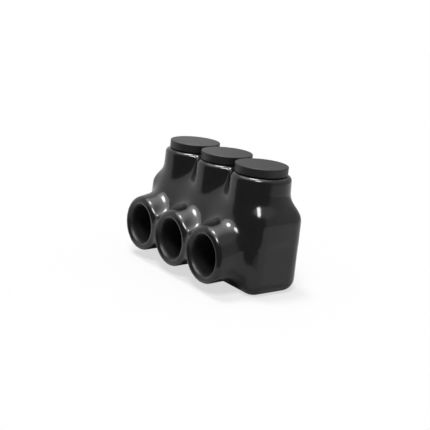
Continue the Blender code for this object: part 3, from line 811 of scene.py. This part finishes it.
plug_height = plug_high[2] - plug_low[2]
cap = plug_height - PLUG_THICKNESS
PLUG_RADIUS = (plug_high[0] - plug_low[0]) / 2
spacing = cap / 3
plug_profile = [(0, plug_height), (PLUG_RADIUS, plug_height), (PLUG_RADIUS, cap), (PLUG_STEM, cap)]
plug_edges = [PLUG_EDGE, SMALL_EDGE, SMALL_EDGE]
for crest in (2 * spacing, spacing):
    plug_profile += [(PLUG_STEM, crest + 2 * PLUG_RIB), (PLUG_STEM + PLUG_RIB, crest),
                     (PLUG_STEM, crest - PLUG_RIB)]
    plug_edges += [SMALL_EDGE, SMALL_EDGE, SMALL_EDGE]
plug_profile += [(PLUG_STEM, 0), (PLUG_BORE, 0), (PLUG_BORE, cap), (0, cap)]
plug_edges += [PLUG_RIB, SMALL_EDGE, PLUG_EDGE]
for bay, centre in enumerate(BAY_CENTRES, start=1):
    plug = turned(f"matte_plug_{bay}", rounded(plug_profile, plug_edges), sides=128)
    plug.data.transform(Matrix.Translation((centre, 0, plug_low[2])))
    finish_mesh(plug)
    plug.data.materials.append(matte_vinyl)
    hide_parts(f"access_plug_{bay}")
    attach(plug, f"plug_{bay}")

# %% [markdown]
# ## Metal
# The block is cut from an extruded aluminium bar and tin-plated, and the screws are steel, plated with
# zinc. Both show fine lines along or round the metal, and a cloudy plating over them. One group makes
# the two: noise that is stretched along the lines, and softer noise for the cloud.

# %% The metal's grain
CLOUD_SCALE = 180.0

metal_grain, entry, result = node_group(
    "metal grain",
    {"Vector": ("NodeSocketVector", None), "Line Stretch": ("NodeSocketVector", None),
     "Line Depth": ("NodeSocketFloat", 0.000003)},
    {"Height": "NodeSocketFloat", "Lines": "NodeSocketFloat", "Cloud": "NodeSocketFloat"})
stretched = add_node(metal_grain, "ShaderNodeVectorMath", {0: entry["Vector"], 1: entry["Line Stretch"]},
                     operation="MULTIPLY")
lines = add_node(metal_grain, "ShaderNodeTexNoise",
                 {"Vector": stretched.outputs[0], "Scale": 1.0, "Detail": 3.0})
cloud = add_node(metal_grain, "ShaderNodeTexNoise",
                 {"Vector": entry["Vector"], "Scale": CLOUD_SCALE, "Detail": 4.0})
depth = math_node(metal_grain, "MULTIPLY", lines.outputs[0], entry["Line Depth"])
metal_grain.links.new(depth, result.inputs["Height"])
metal_grain.links.new(lines.outputs[0], result.inputs["Lines"])
metal_grain.links.new(cloud.outputs[0], result.inputs["Cloud"])
print("group:", metal_grain.name, "with", len(metal_grain.nodes), "nodes")

# %% [markdown]
# A line is a lump of noise, drawn out long. So each finish says how many lumps there are in a metre along
# X, Y and Z. The lines run along the bar on its outside, as from the die, and round the axis in a bore,
# in a tapped hole and on a screw, as from the tool.

# %% The four metal finishes
ALONG_BAR = (150, 3500, 3500)
ROUND_BORE = (150, 5000, 150)
ROUND_HOLE = (150, 150, 5000)
ROUND_SCREW = (300, 300, 6000)
BORE_TIN = (0.55, 0.55, 0.53), (0.76, 0.76, 0.74)


def metal(name, dark, light, roughness, stretch):
    """Metal finish: colour by the cloud, between dark and light; roughness
    by the lines, within the two values; relief by the lines."""
    made, tree, shader, place = new_material(name, light, roughness[0], metallic=1.0)
    grain = use_group(tree, metal_grain, {"Vector": place, "Line Stretch": stretch})
    color = add_node(tree, "ShaderNodeMix", {"Factor": grain.outputs["Cloud"], 6: (*dark, 1), 7: (*light, 1)},
                     data_type="RGBA")
    tree.links.new(color.outputs[2], shader.inputs["Base Color"])
    tree.links.new(spread(tree, grain.outputs["Lines"], *roughness), shader.inputs["Roughness"])
    add_relief(tree, shader, grain.outputs["Height"])
    return made


tinned_bar = metal("tinned_bar", (0.60, 0.60, 0.58), (0.80, 0.80, 0.78), (0.24, 0.42), ALONG_BAR)
tinned_bore = metal("tinned_bore", *BORE_TIN, (0.20, 0.40), ROUND_BORE)
tinned_thread = metal("tinned_thread", *BORE_TIN, (0.22, 0.40), ROUND_HOLE)
zinc_steel = metal("zinc_steel", (0.48, 0.48, 0.47), (0.66, 0.66, 0.65), (0.24, 0.44), ROUND_SCREW)
print("finishes:", ", ".join(made.name for made in (tinned_bar, tinned_bore, tinned_thread, zinc_steel)))

# %% [markdown]
# ## Connector block
# The block is sawn from a bar, drilled from the front with a drill whose point leaves a cone, and
# drilled and tapped from the top into each bore. It is made the same way here, with turned cutters. The
# cutters carry the finish of a drilled or tapped hole, and leave it on the faces that they cut.

# %% Build the block
SCREW_RADIUS = (screw_high[0] - screw_low[0]) / 2
BORE_RADIUS = SCREW_RADIUS
THREAD_GAP = 0.3 * MM
TAPPED_RADIUS = SCREW_RADIUS + THREAD_GAP
BORE_CHAMFER = 0.7 * MM
BORE_END_WALL = 2.0 * MM
DRILL_POINT = math.radians(31)
HOLE_FLOOR = 4.2 * MM
LOWEST_TIP = PORT_AXIS - BORE_RADIUS + HOLE_FLOOR


def drilled(name, radius, depth, point, finish):
    """Cutter for a hole along Z, with its mouth at height 0: the countersink,
    the side down to the depth, and the cone that the drill's point leaves."""
    cutter = turned(name, [(0, BORE_CHAMFER), (radius + 2 * BORE_CHAMFER, BORE_CHAMFER),
                           (radius, -BORE_CHAMFER), (radius, -depth + point), (0, -depth)])
    cutter.data.materials.append(finish)
    return cutter


block = rounded_bar("tinned_block", block_low, block_high, BLOCK_EDGE)
block.data.materials.append(tinned_bar)
lay_down = Matrix.Rotation(math.pi / 2, 4, "X")
cutters = []
for bay, centre in enumerate(BAY_CENTRES, start=1):
    bore = drilled(f"bore_{bay}", BORE_RADIUS, block_high[1] - block_low[1] - BORE_END_WALL,
                   BORE_RADIUS * math.tan(DRILL_POINT), tinned_bore)
    bore.data.transform(Matrix.Translation((centre, block_low[1], PORT_AXIS)) @ lay_down)
    hole = drilled(f"hole_{bay}", TAPPED_RADIUS, block_high[2] - LOWEST_TIP, 0.0, tinned_thread)
    hole.data.transform(Matrix.Translation((centre, 0, block_high[2])))
    cutters += [finish_mesh(bore), finish_mesh(hole)]
cut_out(block, cutters)
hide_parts("connector_block")
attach(block, "connector")

# %% [markdown]
# ## Set screws
# A set screw has no head: the thread runs over its whole length, with a chamfer at both ends, and a hex
# socket in its top. A helix can be swept as a curve, but here it is simpler. The side of the screw is a
# grid of angle and height, and the radius of each point follows a wave of the height less the angle,
# which is a helix. The socket is the same grid, carried on down the inside.

# %% Build the screws
THREAD_PITCH = 1.41 * MM
THREAD_DEPTH = 0.75 * MM
SCREW_CHAMFER = 1.2 * MM
SOCKET_FLATS = 7.94 * MM
SOCKET_DEPTH = 8.0 * MM
SOCKET_FLOOR = 1.15 * SOCKET_DEPTH
CREST = 0.875
ROOT = 0.25
SCREW_SIDES = 96
STEPS_PER_TURN = 14
print(f"thread: {THREAD_PITCH / MM:.2f} mm pitch, {THREAD_DEPTH / MM:.2f} mm deep")


def threaded_screw(name):
    """Closed grid of rings. Side: crest radius less the groove's share of
    its depth. The groove follows a wave of height / pitch - angle / turn
    that swings between 0 and 1: no groove above the crest's value, full
    depth below the root's. Both ends are limited by a 45 degree chamfer.
    Socket: the hexagon's radius, flats / 2 / cos(angle from the flat's
    middle), or that of the chamfer at its mouth where it is larger. Rings
    close to the edges keep the flat faces flat."""
    length = screw_high[2] - screw_low[2]
    tip = SCREW_RADIUS - SCREW_CHAMFER
    angle = np.linspace(0, 2 * math.pi, SCREW_SIDES + 1)
    z = np.linspace(0, length, int(length / THREAD_PITCH * STEPS_PER_TURN))[:, None]
    wave = np.abs(2 * ((z / THREAD_PITCH - angle / (2 * math.pi)) % 1.0) - 1)
    groove = np.clip((CREST - wave) / (CREST - ROOT), 0, 1)
    side = np.minimum(SCREW_RADIUS - THREAD_DEPTH * groove, tip + np.minimum(z, length - z))
    around = (angle + math.pi / 6) % (math.pi / 3) - math.pi / 6
    hexagon = SOCKET_FLATS / 2 / np.cos(around)
    mouth = SOCKET_FLATS / math.sqrt(3)
    depth = np.concatenate([np.linspace(0, mouth - SOCKET_FLATS / 2, 5), [SOCKET_DEPTH]])[:, None]
    socket = np.maximum(hexagon, mouth - depth)
    one = np.ones_like(angle)
    rings = [(0 * one, 0 * one), (0.97 * side[0], 0 * one)]
    rings += list(zip(side, z * one))
    rings += [(share * side[-1] + (1 - share) * mouth, length * one) for share in (0.95, 0.1)]
    rings += list(zip(socket, (length - depth) * one))
    rings += [(0.9 * hexagon, (length - SOCKET_DEPTH) * one), (0 * one, (length - SOCKET_FLOOR) * one)]
    radius, height = np.array(rings).swapaxes(0, 1)
    points = np.stack([radius * np.cos(angle), radius * np.sin(angle), height], axis=-1)
    return mesh_object(name, points.reshape(-1, 3), grid_faces(*points.shape[:2], 0).tolist())


for bay, centre in enumerate(BAY_CENTRES, start=1):
    screw = threaded_screw(f"threaded_screw_{bay}")
    screw.data.transform(Matrix.Translation((centre, 0, screw_low[2])))
    finish_mesh(screw)
    screw.data.materials.append(zinc_steel)
    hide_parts(f"set_screw_{bay}")
    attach(screw, f"screw_{bay}")

# %% [markdown]
# ## Studio
# A black glossy object shows little of its own colour. What one sees is the studio, mirrored in it: the
# lamps as small bright spots, a pale ceiling as a grey sheen on top, and a dark stretch in front as the
# black sides. So the studio is built with care. Its floor is white paper. The camera sees it mostly as
# plain white, at a strength of 1, with a share of the lit paper mixed in, which carries the object's
# shadow. A mirror ray sees the paper only, in a darker tone.

# %% Floor, white where the camera sees it
FLOOR_SIZE = 3.0
FLOOR_WHITE = 0.82
FLOOR_MIRRORED = 0.6
SHADOW_SHARE = 0.35

corners = np.array([(-1, -1, 0), (1, -1, 0), (1, 1, 0), (-1, 1, 0)]) * FLOOR_SIZE / 2
floor = mesh_object("studio_floor", corners, [(0, 1, 2, 3)])
paper, tree, shader, _ = new_material("white_paper", (FLOOR_WHITE,) * 3, 0.9)
shader.inputs["Specular IOR Level"].default_value = 0.0
path = add_node(tree, "ShaderNodeLightPath", {})
white = add_node(tree, "ShaderNodeMix",
                 {"Factor": path.outputs["Is Glossy Ray"], 6: (*(FLOOR_WHITE,) * 3, 1),
                  7: (*(FLOOR_MIRRORED,) * 3, 1)}, data_type="RGBA")
tree.links.new(white.outputs[2], shader.inputs["Base Color"])
glow = add_node(tree, "ShaderNodeEmission", {"Color": (1, 1, 1, 1), "Strength": 1.0})
share = math_node(tree, "MULTIPLY", path.outputs["Is Camera Ray"], 1 - SHADOW_SHARE)
mixed = add_node(tree, "ShaderNodeMixShader", {0: share, 1: shader.outputs[0], 2: glow.outputs[0]})
tree.links.new(mixed.outputs[0], tree.nodes["Material Output"].inputs["Surface"])
floor.data.materials.append(paper)
print(f"floor: {FLOOR_SIZE:.1f} m square, paper white {FLOOR_WHITE}")

# %% [markdown]
# The camera stands in front of the object, far round to its right, and looks down by 15 degrees. Its
# place, its turn and its lens were fitted together with the form, to the outline in the photograph. The
# roll adds to the slope of the row of plugs, down to the right.

# %% Camera
CAMERA_PLACE = np.array([325.03, -257.61, 135.78]) * MM
CAMERA_AZIMUTH = 51.979
CAMERA_TILT = 14.933
CAMERA_ROLL = 5.687
LENS = 76.47

camera = bpy.data.objects.new("camera", bpy.data.cameras.new("camera"))
bpy.context.scene.collection.objects.link(camera)
bpy.context.scene.camera = camera
camera.data.lens = LENS
camera.data.sensor_width = 36
turns = ((CAMERA_AZIMUTH, "Z"), (90 - CAMERA_TILT, "X"), (CAMERA_ROLL, "Z"))
matrix = Matrix.Translation(CAMERA_PLACE)
for degrees, axis in turns:
    matrix = matrix @ Matrix.Rotation(math.radians(degrees), 4, axis)
camera.matrix_world = matrix
print(f"camera {np.linalg.norm(CAMERA_PLACE):.3f} m from the object")

# %% [markdown]
# Two lamps light the object, one nearly overhead and one above the camera. Area lamps would leave the far
# floor darker. A sun lights all of it evenly. Its disc is as wide as a round softbox looks from the
# object, so the shadow has a soft edge, and the vinyl mirrors each lamp as a small round spot.

# %% Lamps
LAMPS = {"lamp_overhead": (-120, 77), "lamp_in_front": (-12, 60)}
LAMP_WIDTH = 17
LAMP_STRENGTH = 1.6


def towards(azimuth, elevation):
    """Direction at an azimuth, counted from the camera's, and an elevation."""
    azimuth = np.radians(azimuth + CAMERA_AZIMUTH)
    elevation = np.radians(elevation)
    return np.stack([np.sin(azimuth) * np.cos(elevation), -np.cos(azimuth) * np.cos(elevation),
                     np.sin(elevation) + 0 * azimuth], axis=-1)


for name, (azimuth, elevation) in LAMPS.items():
    lamp = bpy.data.objects.new(name, bpy.data.lights.new(name, "SUN"))
    bpy.context.scene.collection.objects.link(lamp)
    lamp.data.energy = LAMP_STRENGTH
    lamp.data.angle = math.radians(LAMP_WIDTH)
    lamp.rotation_mode = "QUATERNION"
    lamp.rotation_quaternion = Vector(towards(azimuth, elevation)).to_track_quat("Z", "Y")
    print(f"{name}: {elevation} degrees up, strength {LAMP_STRENGTH}")

# %% [markdown]
# The world is three things at once, and the Light Path node tells them apart. The eye sees it white, as
# the backdrop. As a light it is weaker, so that the object keeps its dark sides. A mirror ray sees a grey
# ceiling with a wide soft glow overhead, brighter than white, as a large softbox is. It gives the upper
# sides their sheen. Another lamp with a wide disc could do it too, but its hard edge would be mirrored.

# %% World: white to the eye, weaker as a light, with a glow that reflections see
AMBIENT = 0.28
CEILING_TONE = 0.78
GLOW = 2.6
GLOW_AZIMUTH = -110
GLOW_ELEVATION = 75
GLOW_INNER = 12
GLOW_OUTER = 42

world = bpy.data.worlds.new("pale_room")
world.use_nodes = True
bpy.context.scene.world = world
tree = world.node_tree
path = add_node(tree, "ShaderNodeLightPath", {})
direction = add_node(tree, "ShaderNodeTexCoord", {}).outputs["Generated"]
facing = add_node(tree, "ShaderNodeVectorMath",
                  {0: direction, 1: towards(GLOW_AZIMUTH, GLOW_ELEVATION)}, operation="DOT_PRODUCT")
overhead = add_node(tree, "ShaderNodeMapRange",
                    {"Value": facing.outputs["Value"], "From Min": math.cos(math.radians(GLOW_OUTER)),
                     "From Max": math.cos(math.radians(GLOW_INNER)), "To Min": CEILING_TONE,
                     "To Max": CEILING_TONE + GLOW},
                    interpolation_type="SMOOTHSTEP")
mirrored = add_node(tree, "ShaderNodeMix", {"Factor": path.outputs["Is Glossy Ray"], 2: AMBIENT,
                                            3: overhead.outputs[0]})
seen = math_node(tree, "ADD", path.outputs["Is Camera Ray"], path.outputs["Is Transmission Ray"],
                 use_clamp=True)
strength = add_node(tree, "ShaderNodeMix", {"Factor": seen, 2: mirrored.outputs[0], 3: 1.0})
tree.links.new(strength.outputs[0], tree.nodes["Background"].inputs["Strength"])
tree.nodes["Background"].inputs["Color"].default_value = (1, 1, 1, 1)
print(f"world: {AMBIENT} as a light, up to {CEILING_TONE + GLOW:.2f} in reflections")

# %% [markdown]
# A studio for black glossy goods often has dark cards and walls round the table. Here they are one dim
# room that only mirror rays see, so it takes no light from the object and casts no shadow. It is a wall
# round the object with a strip of floor at its foot, which comes close to the object in front and draws
# back to the wall on both sides. Angles are in degrees, from the camera's direction to the right. The
# room stands still, so another view mirrors another part of it.

# %% Form of the dim room
ROOM_COLUMNS = 145
ROOM_ROWS = 25
FLOOR_ROWS = 6
ROOM_RADIUS = 0.38
ROOM_TOP = 51
ROOM_HEIGHTS = np.tan(np.radians(np.linspace(0, ROOM_TOP, ROOM_ROWS))) * ROOM_RADIUS
FLOOR_LIFT = 0.5 * MM
NEAR_EDGE = 0.07
RIGHT_END = 45
LEFT_START = 60
LEFT_WIDTH = 40

azimuths = np.linspace(-180, 180, ROOM_COLUMNS)
slope = np.clip(azimuths / RIGHT_END, 0, 1) ** 3 + np.clip((-azimuths - LEFT_START) / LEFT_WIDTH, 0, 1) ** 3
near = NEAR_EDGE + (ROOM_RADIUS - NEAR_EDGE) * np.minimum(slope, 1)
floor_rows = near + (ROOM_RADIUS - near) * np.linspace(0, 1, FLOOR_ROWS)[:, None]
radius = np.concatenate([floor_rows, np.full((len(ROOM_HEIGHTS), len(azimuths)), ROOM_RADIUS)])
height = np.concatenate([np.zeros(len(floor_rows)), ROOM_HEIGHTS])[:, None] + FLOOR_LIFT
points = radius[..., None] * towards(azimuths, np.zeros_like(azimuths))
points[..., 2] = height
print(f"room: {ROOM_RADIUS:.2f} m in radius, {ROOM_HEIGHTS[-1]:.2f} m high")

# %% [markdown]
# The room's tone follows the direction: dark in front, paler on both sides, and between the two behind
# the object. It holds up to an arch, and above that it fades into the tone of the ceiling. An image of a
# studio could hold such tones, but the arch has a formula: a half ellipse over the azimuth, with a least
# height on the right. The tone is worked out for each point and kept in the mesh as an attribute, which
# the room's material gives off.

# %% Tones of the dim room
ROOM_TONES = ((-180, 0.3), (-130, 0.8), (-92, 0.8), (-86, 0.14), (36, 0.18), (46, 0.47), (90, 0.55),
              (180, 0.3))
ARCH_FOOT = 6
ARCH_RISE = 44
ARCH_CENTRE = -12
ARCH_HALF_WIDTH = 80
RIGHT_HEIGHT = 32
FADE = 8

low = np.interp(azimuths, *np.transpose(ROOM_TONES))
elevation = np.degrees(np.arctan2(height, radius))
ellipse = np.clip(1 - ((azimuths - ARCH_CENTRE) / ARCH_HALF_WIDTH) ** 2, 0, 1)
arch = ARCH_FOOT + ARCH_RISE * np.sqrt(ellipse)
top = np.where(azimuths > 0, np.maximum(arch, RIGHT_HEIGHT), arch)
tones = low + (CEILING_TONE - low) * np.clip((elevation - top) / FADE, 0, 1)
room = mesh_object("dim_room", points.reshape(-1, 3), grid_faces(*points.shape[:2], 0).tolist())
room.visible_camera = False
room.visible_diffuse = False
room.visible_shadow = False
room.visible_transmission = False
room.data.attributes.new("tone", "FLOAT", "POINT").data.foreach_set("value", tones.ravel())
dim_room, tree, _, _ = new_material("dim_room", (0, 0, 0), 1.0)
tone = add_node(tree, "ShaderNodeAttribute", {}, attribute_name="tone")
glow = add_node(tree, "ShaderNodeEmission", {"Color": tone.outputs["Color"], "Strength": 1.0})
tree.links.new(glow.outputs[0], tree.nodes["Material Output"].inputs["Surface"])
room.data.materials.append(dim_room)
print(f"tones from {tones.min():.2f} to {tones.max():.2f}")

# %% [markdown]
# ## View transform
# The render uses the Standard view transform.

# %% View transform
bpy.context.scene.view_settings.view_transform = "Standard"
